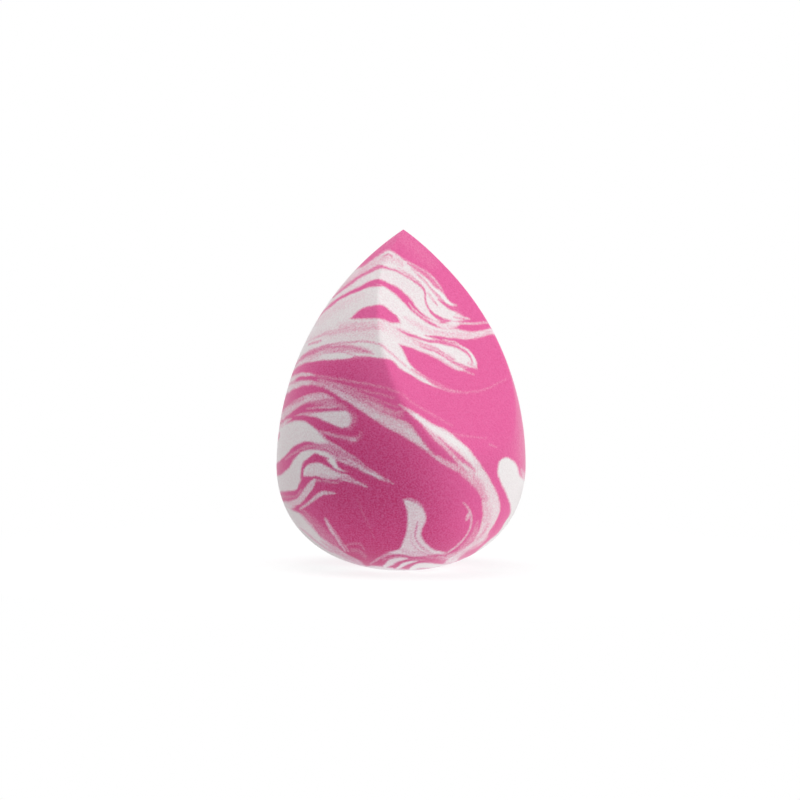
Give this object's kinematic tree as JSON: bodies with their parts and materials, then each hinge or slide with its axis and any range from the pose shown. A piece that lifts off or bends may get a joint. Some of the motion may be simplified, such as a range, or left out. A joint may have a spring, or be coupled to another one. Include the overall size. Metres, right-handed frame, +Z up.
{
  "type": "makeup sponge",
  "caption": "Teardrop makeup sponge of marbled pink and white foam, with a rounded standing base, a pointed tip and a flat slanted cut for blending and pressing on product.",
  "frame": {"origin": "centre of the flat underneath that the sponge stands on", "axes": "+Z up along the teardrop's axis to the tip, -Y towards the picture's viewer, +X to the viewer's right; the flat cut faces -Y and 39 degrees towards +X"},
  "size_m": [0.0438, 0.0438, 0.0594],
  "materials": {
    "pink_foam": "matte fine open-cell polyurethane foam, dyed pink",
    "white_foam": "matte fine open-cell polyurethane foam, undyed white"
  },
  "bodies": {
    "root": {"pink_foam": "pink_foam", "pink_eye": "pink_foam", "white_crown_band": "white_foam", "white_upper_fold": "white_foam", "white_left_sweep": "white_foam", "white_right_sweep": "white_foam", "white_curl_band": "white_foam", "white_left_eye": "white_foam", "white_left_fold": "white_foam", "white_lower_fold": "white_foam", "white_fold_core": "white_foam", "white_base_left": "white_foam", "white_column": "white_foam", "white_side_drop": "white_foam"}
  },
  "joints": []
}
